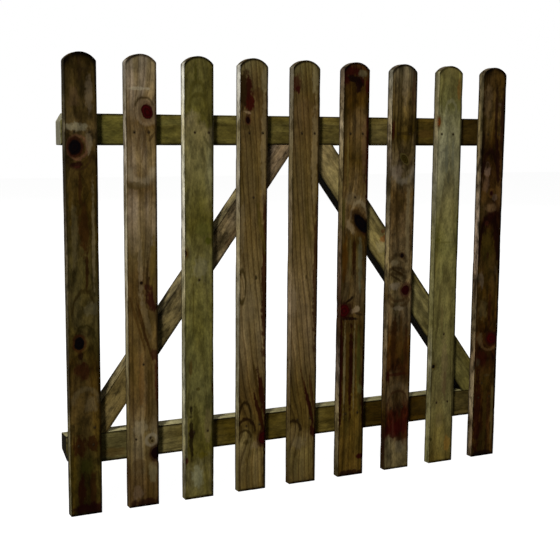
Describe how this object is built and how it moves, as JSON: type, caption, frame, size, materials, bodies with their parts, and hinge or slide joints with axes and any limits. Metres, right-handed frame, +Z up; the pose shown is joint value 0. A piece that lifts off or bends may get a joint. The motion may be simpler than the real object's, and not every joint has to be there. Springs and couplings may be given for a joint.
{
  "type": "garden gate",
  "caption": "Picket garden gate leaf: upright pales with round tops nailed to two horizontal rails, stiffened by two diagonal braces meeting under the top rail.",
  "frame": {"origin": "under the middle of the leaf, level with the feet of the pales, halfway through its thickness", "axes": "+X along the width, to the right seen from the pale side; +Y from the pales towards the rails; +Z up"},
  "size_m": [1.025, 0.055, 0.8999],
  "materials": {
    "pale_wood": "rough sawn, pressure treated, weathered",
    "rail_wood": "rough sawn, pressure treated, green tint",
    "brace_wood": "rough sawn, pressure treated",
    "nail_steel": "dulled, tarnished"
  },
  "bodies": {
    "root": {"pale_1": "pale_wood", "pale_2": "pale_wood", "pale_3": "pale_wood", "pale_4": "pale_wood", "pale_5": "pale_wood", "pale_6": "pale_wood", "pale_7": "pale_wood", "pale_8": "pale_wood", "pale_9": "pale_wood", "top_rail": "rail_wood", "bottom_rail": "rail_wood", "left_brace": "brace_wood", "right_brace": "brace_wood", "top_rail_nails": "nail_steel", "bottom_rail_nails": "nail_steel", "left_brace_nails": "nail_steel", "right_brace_nails": "nail_steel"}
  },
  "joints": []
}
